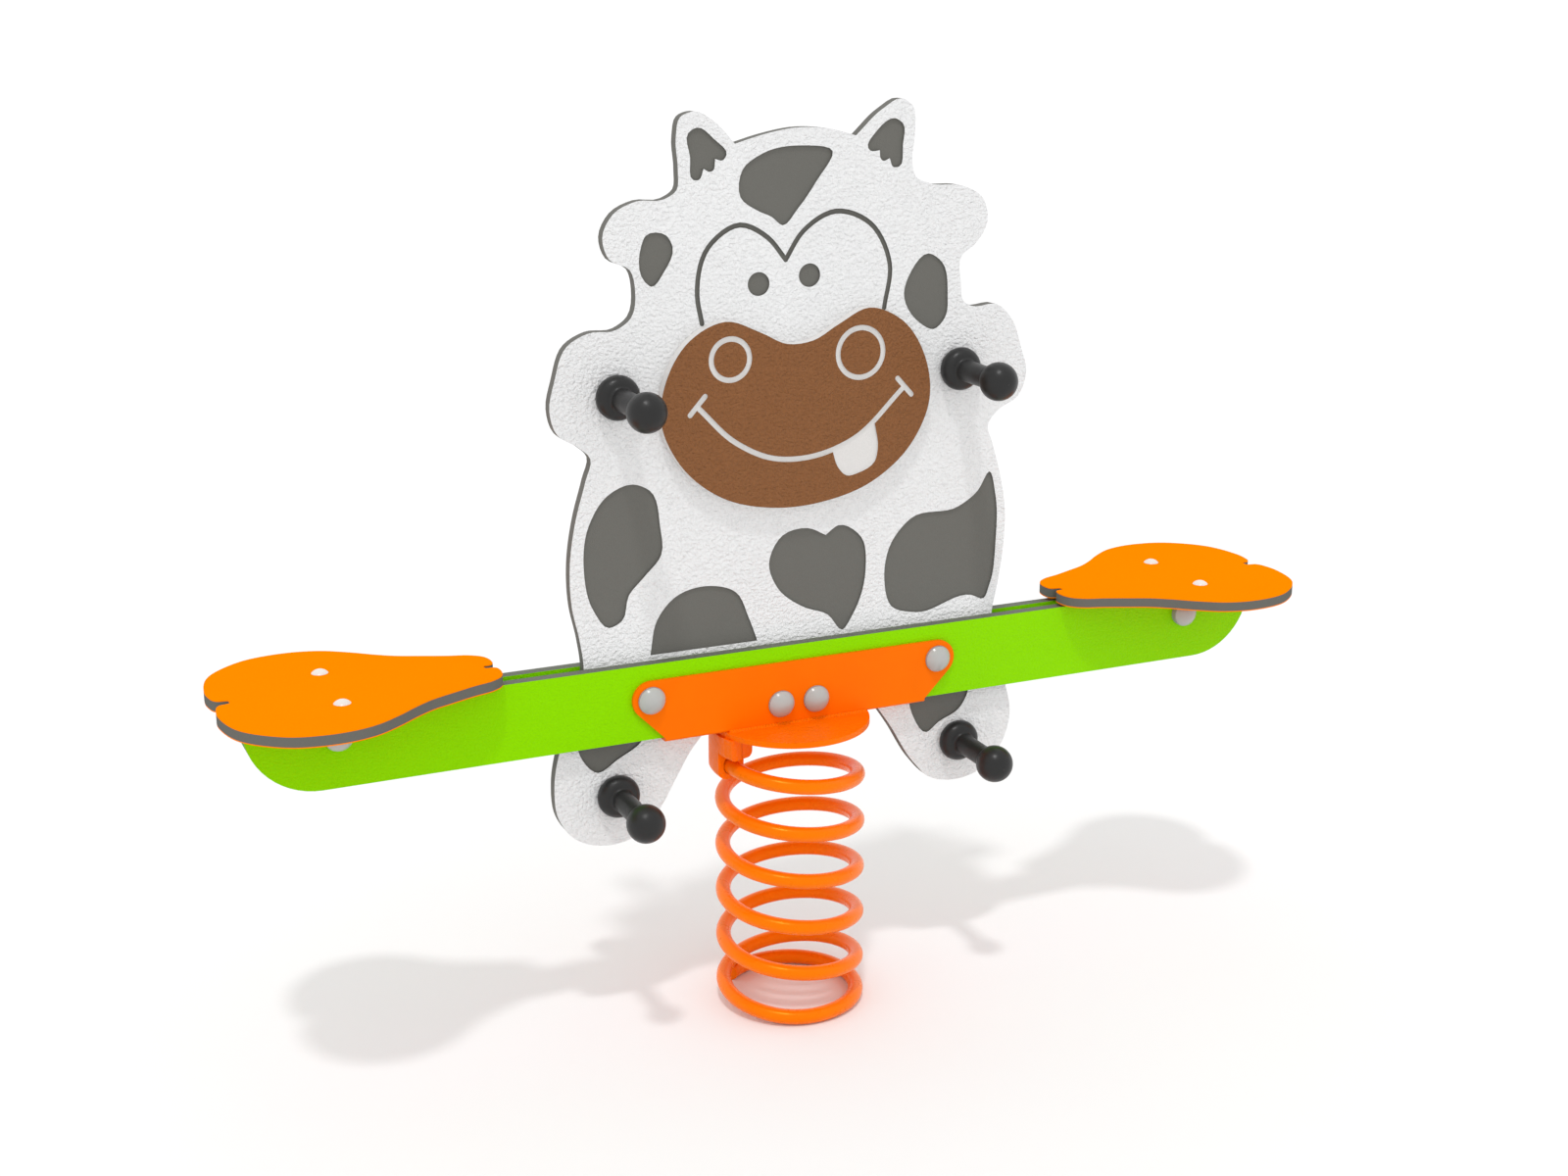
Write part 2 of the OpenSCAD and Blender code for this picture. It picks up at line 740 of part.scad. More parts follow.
module peg(place, side) {
    color("dimgray")
        translate([0, 0, rocker_z])
            on_face([place], side, board_t / 2)
                difference() {
                    rotate_extrude()
                        peg_section();
                    translate([0, 0, -1])
                        cylinder(d = rod_d + stud_gap, h = rod_bite + 2);
                }
}

module rods(places) {
    color("silver")
        translate([0, 0, rocker_z])
            cross_bores(places, rod_d, -board_t / 2 - rod_bite, board_t / 2 + rod_bite);
}

module grip_front_left() { peg(grips_at[0], -1); }
module grip_front_right() { peg(grips_at[1], -1); }
module grip_rear_left() { peg(grips_at[0], 1); }
module grip_rear_right() { peg(grips_at[1], 1); }
module grip_rods() { rods(grips_at); }
module footrest_front_left() { peg(feet_at[0], -1); }
module footrest_front_right() { peg(feet_at[1], -1); }
module footrest_rear_left() { peg(feet_at[0], 1); }
module footrest_rear_right() { peg(feet_at[1], 1); }
module footrest_rods() { rods(feet_at); }

// ---- seats ----

carrier_l = 90;
carrier_w = seat_screw_pitch + 40;
carrier_r = 14;
ear_depth = seat_bolt_drop + 28;
seat_screws_at = [for (sx = [-1, 1], sy = [-1, 1]) [sx * seat_x, sy * seat_screw_pitch / 2]];

module seat(side) {
    color("darkorange")
        translate([0, 0, rocker_z + beam_h + carrier_t])
            difference() {
                mirror([side < 0 ? 1 : 0, 0, 0])
                    translate([seat_x - seat_mid, 0, 0])
                        linear_extrude(seat_t)
                            polygon(closed_curve(seat_outline));
                for (p = seat_screws_at)
                    translate([p[0], p[1], -1])
                        cylinder(d = bore_d, h = seat_t + 2);
            }
}

module seat_left() { seat(-1); }
module seat_right() { seat(1); }

// Plate under the seat, welded to a folded channel that drops between the beams
module seat_bracket(side) {
    color("orangered")
        translate([side * seat_x, 0, rocker_z]) {
            difference() {
                union() {
                    translate([0, 0, beam_h])
                        linear_extrude(carrier_t)
                            rounded_plate([carrier_l, carrier_w], carrier_r);
                    translate([-carrier_l / 2, -board_t / 2, beam_h - carrier_t])
                        cube([carrier_l, board_t, carrier_t]);
                    for (s = [-1, 1])
                        upright(s * (board_t - carrier_t) / 2, carrier_t)
                            translate([0, beam_h - ear_depth / 2])
                                rounded_plate([carrier_l, ear_depth], carrier_r);
                }
                for (sy = [-1, 1])
                    translate([0, sy * seat_screw_pitch / 2, beam_h - 1])
                        cylinder(d = bore_d, h = carrier_t + 2);
                cross_bores([[0, seat_bolt_z]], bore_d);
            }
        }
}

module seat_bracket_left() { seat_bracket(-1); }
module seat_bracket_right() { seat_bracket(1); }

seat_head_d = 21;
seat_head_h = 5;

// Half-round head on a flat seat, drawn from its underside up
module round_head(d, h) {
    ball = (d * d / 4 + h * h) / (2 * h);
    rotate_extrude()
        intersection() {
            translate([0, h - ball])
                circle(ball, $fn = 128);
            square([d / 2, h]);
        }
}

module seat_screws() {
    length = seat_t + carrier_t + nut_h + bolt_tail;
    color("white")
        for (p = seat_screws_at)
            translate([p[0], p[1], rocker_z + beam_h + carrier_t + seat_t]) {
                round_head(seat_head_d, seat_head_h);
                translate([0, 0, -length])
                    cylinder(d = bolt_d, h = length);
            }
}

module seat_nuts() {
    color("silver")
        for (p = seat_screws_at)
            translate([p[0], p[1], rocker_z + beam_h - nut_h])
                difference() {
                    hexagon(hex_across, nut_h);
                    translate([0, 0, -1])
                        cylinder(d = bolt_d + stud_gap, h = nut_h + 2);
                }
}

// ---- through bolts and caps ----

// A hexagon bolt from the front face to a nut on the rear face; y is where the cap feet end
module through_bolt(places, y) {
    color("silver")
        translate([0, 0, rocker_z]) {
            cross_bores(places, bolt_d, -y, y + nut_h + bolt_tail);
            on_face(places, -1, y)
                hexagon(hex_across, head_h);
        }
}

module through_nut(places, y) {
    color("silver")
        translate([0, 0, rocker_z])
            on_face(places, 1, y)
                difference() {
                    hexagon(hex_across, nut_h);
                    translate([0, 0, -1])
                        cylinder(d = bolt_d + stud_gap, h = nut_h + 2);
                }
}

cup_floor = 2;

// Round foot of a cap under a bolt head or nut; a tall foot is a cup that the head sits down in
module cap_foot(h) {
    difference() {
        cylinder(d = cap_d, h = h);
        translate([0, 0, -1])
            cylinder(d = bore_d, h = h + 2);
        if (h > cup_floor)
            translate([0, 0, cup_floor])
                cylinder(d = hex_across / cos(30) + 2, h = h);
    }
}

// Snap-on dome over a bolt head or nut
module cap_dome(h) {
    r = cap_d / 2 - 0.6;
    ball = (r * r + h * h) / (2 * h) + 1.2;
    inner = ball - cap_wall;
    rotate_extrude()
        intersection() {
            difference() {
                translate([0, h - ball])
                    circle(ball, $fn = 128);
                translate([0, h - ball])
                    circle(inner, $fn = 128);
            }
            square([r, h]);
        }
}

bracket_cap_y = plate_y + low_foot;
seat_cap_y = beams_y + cup_floor;

module bracket_bolts() { through_bolt(bracket_bolts_at, bracket_cap_y); }
module bracket_nuts() { through_nut(bracket_bolts_at, bracket_cap_y); }
module seat_bolts() { through_bolt(seat_bolts_at, seat_cap_y); }
module seat_bolt_nuts() { through_nut(seat_bolts_at, seat_cap_y); }

module cap_feet(places, side, y, h) {
    color("gray")
        translate([0, 0, rocker_z])
            on_face(places, side, y)
                cap_foot(h);
}

module cap_domes(places, side, y) {
    color("lightgray")
        translate([0, 0, rocker_z])
            on_face(places, side, y)
                cap_dome(cap_h);
}

module cap_feet_front() { cap_feet(bracket_bolts_at, -1, plate_y, low_foot); }
module cap_feet_rear() { cap_feet(bracket_bolts_at, 1, plate_y, low_foot); }
module cap_domes_front() { cap_domes(bracket_bolts_at, -1, bracket_cap_y); }
module cap_domes_rear() { cap_domes(bracket_bolts_at, 1, bracket_cap_y); }

module seat_cap_feet() {
    for (side = [-1, 1])
        cap_feet(seat_bolts_at, side, beams_y, tall_foot);
}

module seat_cap_domes() {
    for (side = [-1, 1])
        cap_domes(seat_bolts_at, side, beams_y + tall_foot);
}

spring();
head_disc();
tall_clamp_hood();
tall_clamp_jaw();
short_clamp_hood();
short_clamp_jaw();
clamp_bolts();
clamp_screws();
rocker_bracket();
weld_beads();
beam_front();
beam_rear();
cow_panel();
muzzle_front();
muzzle_rear();
muzzle_studs();
grip_front_left();
grip_front_right();
grip_rear_left();
grip_rear_right();
grip_rods();
footrest_front_left();
footrest_front_right();
footrest_rear_left();
footrest_rear_right();
footrest_rods();
seat_left();
seat_right();
seat_bracket_left();
seat_bracket_right();
seat_screws();
seat_nuts();
seat_bolts();
seat_bolt_nuts();
seat_cap_feet();
seat_cap_domes();
bracket_bolts();
bracket_nuts();
cap_feet_front();
cap_feet_rear();
cap_domes_front();
cap_domes_rear();
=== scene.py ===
import json
from math import radians

import bmesh
import bpy
from mathutils import Matrix, Vector


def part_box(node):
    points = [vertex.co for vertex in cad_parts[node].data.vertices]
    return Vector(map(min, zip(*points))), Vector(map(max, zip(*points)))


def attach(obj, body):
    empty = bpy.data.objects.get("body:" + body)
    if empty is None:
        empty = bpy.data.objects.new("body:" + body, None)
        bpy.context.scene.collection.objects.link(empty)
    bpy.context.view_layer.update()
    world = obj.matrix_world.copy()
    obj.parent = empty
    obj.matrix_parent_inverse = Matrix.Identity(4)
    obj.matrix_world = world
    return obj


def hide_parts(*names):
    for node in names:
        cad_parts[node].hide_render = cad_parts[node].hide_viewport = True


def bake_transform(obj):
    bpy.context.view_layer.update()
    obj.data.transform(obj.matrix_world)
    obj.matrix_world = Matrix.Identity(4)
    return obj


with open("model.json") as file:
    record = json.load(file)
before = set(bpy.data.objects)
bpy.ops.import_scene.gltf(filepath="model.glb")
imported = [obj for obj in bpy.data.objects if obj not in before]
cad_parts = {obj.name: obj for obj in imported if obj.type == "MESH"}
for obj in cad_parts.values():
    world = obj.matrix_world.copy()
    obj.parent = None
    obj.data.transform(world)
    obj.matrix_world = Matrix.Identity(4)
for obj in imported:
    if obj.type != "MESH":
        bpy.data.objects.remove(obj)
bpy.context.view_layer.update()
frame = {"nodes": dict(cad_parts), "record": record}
nodes = frame["nodes"]
slotOf = {part["node"]: part["material_slot"] for part in frame["record"]["subparts"]}
print("frame loaded:", len(nodes), "nodes")

rockerBody = "rocker"
# a copied node's points merge within a distance in metres; the rest are angles in degrees
meshing = {"mergeWithin": 2e-6, "flatWithin": 0.3, "sharpFrom": 35}


def addToScene(name, data):
    thing = bpy.data.objects.new(name, data)
    bpy.context.scene.collection.objects.link(thing)
    return thing


def meshFrom(name, bm, material):
    mesh = bpy.data.meshes.new(name)
    bm.to_mesh(mesh)
    bm.free()
    mesh.materials.append(material)
    return mesh


def addPiece(name, bm, material, body, replaced, weighted=True):
    # turns a bmesh into a smooth-shaded piece that rides on a body
    for face in bm.faces:
        face.smooth = True
    for edge in bm.edges:
        turn = edge.calc_face_angle(0)
        edge.smooth = len(edge.link_faces) == 2 and turn < radians(meshing["sharpFrom"])
    piece = addToScene(name, meshFrom(name, bm, material))
    if weighted:
        normals = piece.modifiers.new("even normals", "WEIGHTED_NORMAL")
        normals.keep_sharp = True
        normals.mode = "FACE_AREA"
    if body:
        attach(piece, body)
    for node in replaced:
        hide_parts(node)
    return piece


def cadCopy(node):
    # a merged copy of a CAD node with its flat areas joined into whole faces
    bm = bmesh.new()
    bm.from_mesh(nodes[node].data)
    bmesh.ops.remove_doubles(bm, verts=bm.verts, dist=meshing["mergeWithin"])
    bmesh.ops.dissolve_limit(bm, angle_limit=radians(meshing["flatWithin"]), verts=bm.verts, edges=bm.edges,
                             use_dissolve_boundaries=False, delimit=set())
    return bm


def bevelEdges(bm, edges, width, segments):
    bmesh.ops.bevel(bm, geom=edges, offset=width, offset_type="OFFSET", segments=segments, profile=0.5,
                    affect="EDGES", clamp_overlap=True, material=-1)


def softenEdges(bm, width, segments, angle, chosen=None):
    # rounds the edges that turn by more than the angle
    edges = [e for e in bm.edges if len(e.link_faces) == 2 and e.calc_face_angle(0) > radians(angle)
             and (chosen is None or chosen(e))]
    bevelEdges(bm, edges, width, segments)


def newGroup(name, inputs, outputs):
    group = bpy.data.node_groups.new(name, "ShaderNodeTree")
    for title, kind, value in inputs:
        socket = group.interface.new_socket(title, in_out="INPUT", socket_type=kind)
        socket.default_value = value
    for title, kind in outputs:
        group.interface.new_socket(title, in_out="OUTPUT", socket_type=kind)
    return group, group.nodes.new("NodeGroupInput"), group.nodes.new("NodeGroupOutput")


def objectPlace(tree):
    return tree.nodes.new("ShaderNodeTexCoord").outputs["Object"]


def setOrLink(tree, socket, value):
    if isinstance(value, (int, float, tuple)):
        socket.default_value = value
    else:
        tree.links.new(value, socket)


def noise(tree, place, scale, detail=2.0, roughness=0.5):
    node = tree.nodes.new("ShaderNodeTexNoise")
    node.inputs["Scale"].default_value = scale
    node.inputs["Detail"].default_value = detail
    node.inputs["Roughness"].default_value = roughness
    tree.links.new(place, node.inputs["Vector"])
    return node.outputs["Fac"]


def ranged(tree, value, span, low, high):
    # stretches a span of values to run from low to high
    node = tree.nodes.new("ShaderNodeMapRange")
    for title, number in zip(("From Min", "From Max", "To Min", "To Max"), (*span, low, high)):
        setOrLink(tree, node.inputs[title], number)
    tree.links.new(value, node.inputs["Value"])
    return node.outputs["Result"]


def maths(tree, operation, *values):
    node = tree.nodes.new("ShaderNodeMath")
    node.operation = operation
    for socket, value in zip(node.inputs, values):
        setOrLink(tree, socket, value)
    return node.outputs["Value"]


def mixedColor(tree, factor, first, second, blend="MIX"):
    node = tree.nodes.new("ShaderNodeMix")
    node.data_type = "RGBA"
    node.blend_type = blend
    colorSockets = [s for s in node.inputs if s.type == "RGBA"]
    for socket, value in zip([node.inputs["Factor"]] + colorSockets, (factor, first, second)):
        setOrLink(tree, socket, value)
    return next(s for s in node.outputs if s.type == "RGBA")


def darkened(tree, color, shade):
    return mixedColor(tree, 1.0, color, shade, "MULTIPLY")


# pressed three-layer board: pebbled skins over a core of another colour
grain = {
    "stretch": (0.85, 1.0, 1.0), "pebbleScale": 240, "fineScale": 700, "pebbleShare": 0.85, "fineShare": 0.15,
    "milledScale": 900, "milledShare": 0.12, "wanderScale": 60, "wander": 0.00010,
    "cloudScale": 7, "speckleScale": 420, "span": (0.3, 0.7), "shade": (0.90, 0.90, 0.90, 1),
    "smooth": 0.46, "rough": 0.56, "coreRougher": 0.16,
}


def makePressedBoard():
    # skin and core are told apart by the depth from the board's middle
    tree, given, result = newGroup(
        "pressedBoard",
        [("Depth", "NodeSocketFloat", 0.0), ("Core Half", "NodeSocketFloat", 0.0055),
         ("Skin", "NodeSocketColor", (1, 1, 1, 1)), ("Core", "NodeSocketColor", (0.2, 0.2, 0.2, 1)),
         ("Grain Size", "NodeSocketFloat", 1.0)],
        [("Color", "NodeSocketColor"), ("Roughness", "NodeSocketFloat"), ("Height", "NodeSocketFloat")])
    place = objectPlace(tree)
    stretched = tree.nodes.new("ShaderNodeVectorMath")
    stretched.operation = "MULTIPLY"
    stretched.inputs[1].default_value = grain["stretch"]
    tree.links.new(place, stretched.inputs[0])
    sized = tree.nodes.new("ShaderNodeVectorMath")
    sized.operation = "SCALE"
    tree.links.new(stretched.outputs["Vector"], sized.inputs[0])
    tree.links.new(given.outputs["Grain Size"], sized.inputs["Scale"])
    grainPlace = sized.outputs["Vector"]

    # the line between skin and core wanders a little, as it does in co-extruded sheet
    wander = ranged(tree, noise(tree, place, grain["wanderScale"], detail=1), (0, 1),
                    -grain["wander"], grain["wander"])
    depth = maths(tree, "ADD", maths(tree, "ABSOLUTE", given.outputs["Depth"]), wander)
    inCore = maths(tree, "LESS_THAN", depth, given.outputs["Core Half"])
    inSkin = maths(tree, "SUBTRACT", 1.0, inCore)

    # pebbles of the pressed skin, and the faint tool marks of the milled core
    pebbles = noise(tree, grainPlace, grain["pebbleScale"])
    fine = noise(tree, grainPlace, grain["fineScale"], roughness=0.6)
    skinHeight = maths(tree, "ADD", maths(tree, "MULTIPLY", pebbles, grain["pebbleShare"]),
                       maths(tree, "MULTIPLY", fine, grain["fineShare"]))
    milled = maths(tree, "MULTIPLY", noise(tree, place, grain["milledScale"]), grain["milledShare"])
    height = maths(tree, "ADD", maths(tree, "MULTIPLY", skinHeight, inSkin),
                   maths(tree, "MULTIPLY", milled, inCore))
    tree.links.new(height, result.inputs["Height"])

    # clouds and specks keep the colour from being quite even
    cloud = noise(tree, place, grain["cloudScale"], detail=3)
    specks = noise(tree, place, grain["speckleScale"], detail=3, roughness=0.7)
    speckle = ranged(tree, specks, grain["span"], 0.0, 1.0)
    mottle = maths(tree, "ADD", maths(tree, "MULTIPLY", cloud, 0.5), maths(tree, "MULTIPLY", speckle, 0.5))
    plain = mixedColor(tree, inCore, given.outputs["Skin"], given.outputs["Core"])
    darker = darkened(tree, plain, grain["shade"])
    tree.links.new(mixedColor(tree, mottle, darker, plain), result.inputs["Color"])
    skinRough = ranged(tree, pebbles, grain["span"], grain["smooth"], grain["rough"])
    rough = maths(tree, "ADD", skinRough, maths(tree, "MULTIPLY", inCore, grain["coreRougher"]))
    tree.links.new(rough, result.inputs["Roughness"])
    return tree


# powder coat or moulded plastic
coat = {
    "cloudScale": 18, "cloudSpan": (0.25, 0.75), "shade": (0.91, 0.90, 0.89, 1),
    "roughScale": 45, "roughSpan": (0.3, 0.7),
}


def makeCoat():
    # a fine orange peel over a nearly even colour
    tree, given, result = newGroup(
        "coatedSurface",
        [("Color", "NodeSocketColor", (1, 1, 1, 1)), ("Peel Scale", "NodeSocketFloat", 500.0),
         ("Low Roughness", "NodeSocketFloat", 0.3), ("High Roughness", "NodeSocketFloat", 0.4)],
        [("Color", "NodeSocketColor"), ("Roughness", "NodeSocketFloat"), ("Height", "NodeSocketFloat")])
    place = objectPlace(tree)
    peel = tree.nodes.new("ShaderNodeTexNoise")
    peel.inputs["Detail"].default_value = 2.0
    tree.links.new(place, peel.inputs["Vector"])
    tree.links.new(given.outputs["Peel Scale"], peel.inputs["Scale"])
    tree.links.new(peel.outputs["Fac"], result.inputs["Height"])
    clouds = noise(tree, place, coat["cloudScale"], detail=4, roughness=0.6)
    cloud = ranged(tree, clouds, coat["cloudSpan"], 0.0, 1.0)
    darker = darkened(tree, given.outputs["Color"], coat["shade"])
    tree.links.new(mixedColor(tree, cloud, darker, given.outputs["Color"]), result.inputs["Color"])
    rough = ranged(tree, noise(tree, place, coat["roughScale"], detail=3), coat["roughSpan"],
                   given.outputs["Low Roughness"], given.outputs["High Roughness"])
    tree.links.new(rough, result.inputs["Roughness"])
    return tree


pressedBoard = makePressedBoard()
coatedSurface = makeCoat()


def newMaterial(name):
    material = bpy.data.materials.new(name)
    material.use_nodes = True
    return material, material.node_tree, material.node_tree.nodes["Principled BSDF"]


def addSurface(tree, shader, groupTree, given):
    # places a shared effect, gives it its own values and feeds the shader from it
    group = tree.nodes.new("ShaderNodeGroup")
    group.node_tree = groupTree
    for title, value in given.items():
        setOrLink(tree, group.inputs[title], value)
    tree.links.new(group.outputs["Color"], shader.inputs["Base Color"])
    tree.links.new(group.outputs["Roughness"], shader.inputs["Roughness"])
    return group.outputs["Height"]


def addBump(tree, height, shader, depth):
    bump = tree.nodes.new("ShaderNodeBump")
    bump.inputs["Distance"].default_value = depth
    bump.inputs["Strength"].default_value = 1.0
    tree.links.new(height, bump.inputs["Height"])
    tree.links.new(bump.outputs["Normal"], shader.inputs["Normal"])


def boardMaterial(name, axis, middle, finish):
    material, tree, shader = newMaterial(name)
    split = tree.nodes.new("ShaderNodeSeparateXYZ")
    tree.links.new(objectPlace(tree), split.inputs["Vector"])
    height = addSurface(tree, shader, pressedBoard, {
        "Depth": maths(tree, "SUBTRACT", split.outputs[axis], middle), "Core Half": finish["coreHalf"],
        "Skin": finish["skin"], "Core": finish["core"], "Grain Size": finish["grainSize"]})
    addBump(tree, height, shader, finish["grainDepth"])
    shader.inputs["Specular IOR Level"].default_value = finish["shine"]
    shader.inputs["Specular Tint"].default_value = finish["tint"]
    return material


def coatMaterial(name, color, peelScale, peelDepth, low, high, tint=(1, 1, 1, 1), shine=0.5, metallic=0.0,
                 ripple=None):
    material, tree, shader = newMaterial(name)
    height = addSurface(tree, shader, coatedSurface, {
        "Color": color, "Peel Scale": peelScale, "Low Roughness": low, "High Roughness": high})
    if ripple:
        # the overlapping scales that a welding pass leaves along X
        scales = tree.nodes.new("ShaderNodeTexWave")
        for title, value in ripple.items():
            scales.inputs[title].default_value = value
        tree.links.new(objectPlace(tree), scales.inputs["Vector"])
        height = maths(tree, "ADD", height, scales.outputs["Fac"])
    addBump(tree, height, shader, peelDepth)
    shader.inputs["Specular IOR Level"].default_value = shine
    shader.inputs["Specular Tint"].default_value = tint
    shader.inputs["Metallic"].default_value = metallic
    return material


# engraved boards: cow panel, muzzle plates, beams and seats
board = {
    "edge": 0.00035, "rim": 0.0002, "sharpFrom": 55,
    "throughWall": 0.9, "pocketWall": (0.1, 0.5),  # wall depths as shares of the thickness
    "onFaceWithin": 1e-5,
}
greyCore = (0.151, 0.148, 0.133, 1)
boardFinishes = {
    "panel": {"skin": (0.880, 0.882, 0.885, 1), "core": greyCore, "coreHalf": 0.00735,
              "grainSize": 1.0, "grainDepth": 0.0055, "tint": (1, 1, 1, 1), "shine": 0.22},
    "muzzle": {"skin": (0.278, 0.110, 0.0355, 1), "core": (0.780, 0.760, 0.742, 1), "coreHalf": 0.00735,
               "grainSize": 1.1, "grainDepth": 0.0080, "tint": (1, 1, 1, 1), "shine": 0.24},
    "beam": {"skin": (0.270, 0.722, 0.0, 1), "core": greyCore, "coreHalf": 0.00735,
             "grainSize": 1.5, "grainDepth": 0.0014, "tint": (0.30, 1.0, 0.02, 1), "shine": 0.3},
    "seat": {"skin": (1.0, 0.240, 0.0, 1), "core": greyCore, "coreHalf": 0.0060,
             "grainSize": 1.9, "grainDepth": 0.0003, "tint": (1.0, 0.35, 0.02, 1), "shine": 0.0},
}
# node, title, finish, axis of the thickness
boards = [
    ("cow_panel", "cowPanel", "panel", "Y"),
    ("muzzle_front", "muzzleFront", "muzzle", "Y"),
    ("muzzle_rear", "muzzleRear", "muzzle", "Y"),
    ("beam_front", "beamFront", "beam", "Y"),
    ("beam_rear", "beamRear", "beam", "Y"),
    ("seat_left", "seatLeft", "seat", "Z"),
    ("seat_right", "seatRight", "seat", "Z"),
]


def makeBoard(node, title, finish, axisName):
    # outer edges are rounded more than the rims of the engraving, and pocket floors stay sharp
    axis = "XYZ".index(axisName)
    low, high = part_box(node)
    faceDepths = (low[axis], high[axis])
    thickness = high[axis] - low[axis]
    material = boardMaterial(title + " board", axisName, (low[axis] + high[axis]) / 2, finish)

    def onFace(edge):
        return any(all(abs(v.co[axis] - depth) < board["onFaceWithin"] for v in edge.verts)
                   for depth in faceDepths)

    def wallDepth(edge):
        # as a share of the thickness
        spans = [max(v.co[axis] for v in f.verts) - min(v.co[axis] for v in f.verts) for f in edge.link_faces]
        return max(spans) / thickness

    def isOuter(edge):
        return onFace(edge) and wallDepth(edge) > board["throughWall"]

    def isRim(edge):
        shallow, deep = board["pocketWall"]
        return onFace(edge) and shallow < wallDepth(edge) < deep

    bm = cadCopy(node)
    softenEdges(bm, board["edge"], segments=3, angle=board["sharpFrom"], chosen=isOuter)
    softenEdges(bm, board["rim"], segments=1, angle=board["sharpFrom"], chosen=isRim)
    addPiece(title, bm, material, rockerBody, [node])


for node, title, finish, axisName in boards:
    makeBoard(node, title, boardFinishes[finish], axisName)
print("boards made")


# steel parts in orange powder coat
steel = {
    "orange": (1.0, 0.168, 0.0, 1), "tint": (1.0, 0.25, 0.02, 1),
    "sheetEdge": 0.0008, "sheetSharpFrom": 50, "castEdge": 0.0032, "castSharpFrom": 30,
    "sheet": {"peelScale": 700, "peelDepth": 0.00005, "low": 0.38, "high": 0.5},
    "casting": {"peelScale": 170, "peelDepth": 0.0016, "low": 0.4, "high": 0.52},
    "weld": {"peelScale": 330, "peelDepth": 0.0009, "low": 0.38, "high": 0.5,
             "ripple": {"Scale": 75.0, "Distortion": 2.5, "Detail Scale": 3.0}},
}
bracketPaint = coatMaterial("bracket paint", steel["orange"], tint=steel["tint"], **steel["sheet"])
castPaint = coatMaterial("casting paint", steel["orange"], tint=steel["tint"], **steel["casting"])
weldPaint = coatMaterial("weld paint", steel["orange"], tint=steel["tint"], **steel["weld"])

for node, title, paint in [("rocker_bracket", "rockerBracket", bracketPaint),
                           ("head_disc", "headDisc", castPaint),
                           ("seat_bracket_left", "seatBracketLeft", bracketPaint),
                           ("seat_bracket_right", "seatBracketRight", bracketPaint)]:
    bm = cadCopy(node)
    softenEdges(bm, steel["sheetEdge"], segments=2, angle=steel["sheetSharpFrom"])
    addPiece(title, bm, paint, rockerBody, [node])
for node, title in [("tall_clamp_hood", "tallClampHood"), ("tall_clamp_jaw", "tallClampJaw"),
                    ("short_clamp_hood", "shortClampHood"), ("short_clamp_jaw", "shortClampJaw")]:
    bm = cadCopy(node)
    softenEdges(bm, steel["castEdge"], segments=3, angle=steel["castSharpFrom"])
    addPiece(title, bm, castPaint, rockerBody, [node])
addPiece("weldBeads", cadCopy("weld_beads"), weldPaint, rockerBody, ["weld_beads"], weighted=False)
print("steel parts made")


# coil spring
spring = {
    "wire": 0.020, "coil": 0.090, "turns": 5.7, "height": 0.3957, "chamfer": 0.0012,
    "leave": -6, "flatArc": 245, "ease": 20, "step": 5,  # degrees
    "sides": 24, "bendFrom": (0, 0, 0.02), "bendTo": (0, 0, 0.376), "orange": (1.0, 0.182, 0.0, 1),
    "paint": {"peelScale": 240, "peelDepth": 0.0002, "low": 0.24, "high": 0.34,
              "tint": (1.0, 0.45, 0.05, 1), "shine": 0.9},
}


def makeSpring():
    # a round profile is spun round the coil's axis a step at a time, dropping by the wire's slope
    wireRadius = spring["wire"] / 2
    pitch = (spring["height"] - spring["wire"]) / spring["turns"]
    start = spring["leave"]
    foot = start + 360 * spring["turns"]
    end = foot + spring["flatArc"]
    steps = round((end - start) / spring["step"])
    turn = (end - start) / steps

    def ramp(angle):
        ease = spring["ease"]
        if abs(angle) < ease:
            return (angle + ease) ** 2 / (4 * ease)
        return max(angle, 0)

    def drop(angle):
        return pitch / 360 * (angle - start - ramp(angle - foot))

    bm = bmesh.new()
    place = Matrix.Rotation(radians(start), 4, "Z") @ Matrix.Translation((spring["coil"], 0, 0))
    place = place @ Matrix.Rotation(radians(90), 4, "X")
    bmesh.ops.create_circle(bm, cap_ends=False, segments=spring["sides"], radius=wireRadius, matrix=place)
    bmesh.ops.translate(bm, verts=bm.verts, vec=(0, 0, spring["height"] - wireRadius))
    ring = firstRing = bm.edges[:]
    for i in range(steps):
        fall = drop(start + turn * (i + 1)) - drop(start + turn * i)
        spun = bmesh.ops.spin(bm, geom=ring, cent=(0, 0, 0), axis=(0, 0, 1), dvec=(0, 0, -fall),
                              angle=radians(turn), steps=1, use_merge=False, use_duplicate=False)
        ring = [e for e in spun["geom_last"] if isinstance(e, bmesh.types.BMEdge)]
    for edges in (firstRing, ring):
        cap = bmesh.ops.contextual_create(bm, geom=edges)["faces"][0]
        bevelEdges(bm, list(cap.edges), spring["chamfer"], segments=2)
    bmesh.ops.recalc_face_normals(bm, faces=bm.faces)
    return bm


springPaint = coatMaterial("spring paint", spring["orange"], **spring["paint"])
springPiece = addPiece("coilSpring", makeSpring(), springPaint, None, ["spring"], weighted=False)
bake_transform(springPiece)
print("spring made")


# grips and footrests
peg = {
    "black": (0.018, 0.018, 0.018, 1),
    "plastic": {"peelScale": 380, "peelDepth": 0.0002, "low": 0.28, "high": 0.38, "shine": 0.30},
}
pegPlastic = coatMaterial("peg plastic", peg["black"], **peg["plastic"])

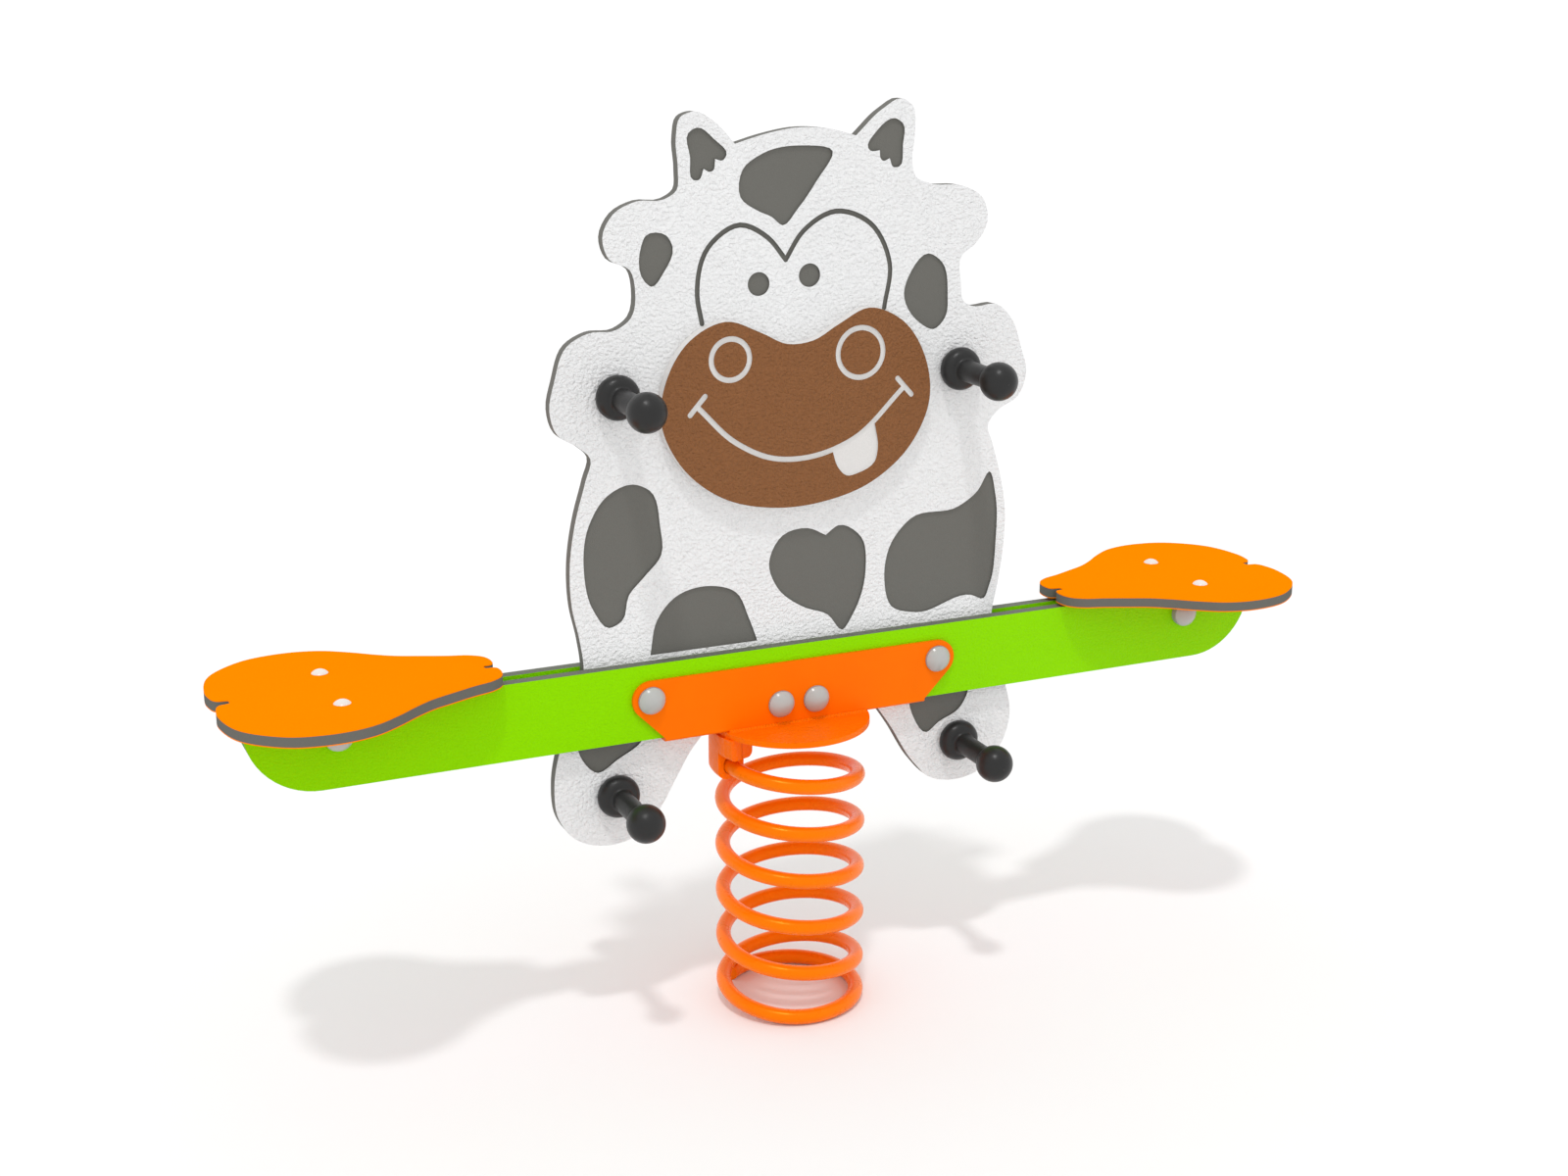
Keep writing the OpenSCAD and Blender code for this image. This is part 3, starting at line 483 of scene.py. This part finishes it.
for node in nodes:
    if node.startswith(("grip_", "footrest_")) and not node.endswith("rods"):
        addPiece(node.replace("_", "."), cadCopy(node), pegPlastic, rockerBody, [node], weighted=False)
print("pegs made")


# bolts, nuts and caps
fitting = {
    "zinc": (0.62, 0.62, 0.60, 1), "foot": (0.345, 0.345, 0.345, 1), "dome": (0.45, 0.452, 0.435, 1),
    "white": (0.765, 0.745, 0.71, 1), "edge": 0.0004, "sharpFrom": 50,
    "plated": {"peelScale": 900, "peelDepth": 0.00002, "low": 0.25, "high": 0.4, "metallic": 1.0},
    "satin": {"peelScale": 500, "peelDepth": 0.00004, "low": 0.36, "high": 0.46},
    "glossy": {"peelScale": 500, "peelDepth": 0.00004, "low": 0.18, "high": 0.26},
    "painted": {"peelScale": 700, "peelDepth": 0.00003, "low": 0.25, "high": 0.35},
}
fittingPaints = {
    "fastener": coatMaterial("zinc plate", fitting["zinc"], **fitting["plated"]),
    "cap_foot": coatMaterial("cap foot plastic", fitting["foot"], **fitting["satin"]),
    "cap_dome": coatMaterial("cap dome plastic", fitting["dome"], **fitting["glossy"]),
    "seat_screw": coatMaterial("seat screw paint", fitting["white"], **fitting["painted"]),
}
for node, slot in slotOf.items():
    if slot in fittingPaints:
        bm = cadCopy(node)
        softenEdges(bm, fitting["edge"], segments=2, angle=fitting["sharpFrom"])
        addPiece(node.replace("_", "."), bm, fittingPaints[slot], rockerBody, [node])
print("fasteners made")


# floor, light and camera
floor = {
    "half": 150.0, "color": (0.865, 0.865, 0.865, 1), "dark": (0.855, 0.855, 0.855, 1), "cloudScale": 3,
    "roughness": 0.9, "shine": 0.1,
}
light = {"sky": 1.0, "sun": 0.8, "sunAngle": 4.0, "sunFrom": (-0.20, -0.37, 1.0)}
camera = {
    "place": (-1.074, -2.343, 1.339), "turn": -24.45, "down": 16.44, "roll": 0.03,
    "lens": 47.709, "sensor": 36, "seesTo": 500,
}


def makeFloor():
    bm = bmesh.new()
    bmesh.ops.create_grid(bm, x_segments=1, y_segments=1, size=floor["half"])
    material, tree, shader = newMaterial("floor paint")
    cloud = noise(tree, objectPlace(tree), floor["cloudScale"])
    tree.links.new(mixedColor(tree, cloud, floor["dark"], floor["color"]), shader.inputs["Base Color"])
    shader.inputs["Roughness"].default_value = floor["roughness"]
    shader.inputs["Specular IOR Level"].default_value = floor["shine"]
    addToScene("floor", meshFrom("floor", bm, material))


def makeLights():
    world = bpy.data.worlds.new("studio")
    world.use_nodes = True
    background = world.node_tree.nodes["Background"]
    background.inputs["Color"].default_value = (1, 1, 1, 1)
    background.inputs["Strength"].default_value = light["sky"]
    bpy.context.scene.world = world
    sun = bpy.data.lights.new("key", "SUN")
    sun.energy = light["sun"]
    sun.angle = radians(light["sunAngle"])
    key = addToScene("key", sun)
    key.rotation_euler = Vector(light["sunFrom"]).to_track_quat("Z", "Y").to_euler()


def makeCamera():
    data = bpy.data.cameras.new("camera")
    data.lens = camera["lens"]
    data.sensor_width = camera["sensor"]
    data.clip_end = camera["seesTo"]
    view = addToScene("camera", data)
    view.location = camera["place"]
    aim = Matrix.Rotation(radians(camera["turn"]), 4, "Z")
    aim = aim @ Matrix.Rotation(radians(90 - camera["down"]), 4, "X")
    view.rotation_euler = (aim @ Matrix.Rotation(radians(camera["roll"]), 4, "Z")).to_euler()
    bpy.context.scene.camera = view


makeFloor()
makeLights()
makeCamera()
bpy.context.scene.view_settings.view_transform = "Standard"
print("studio made")
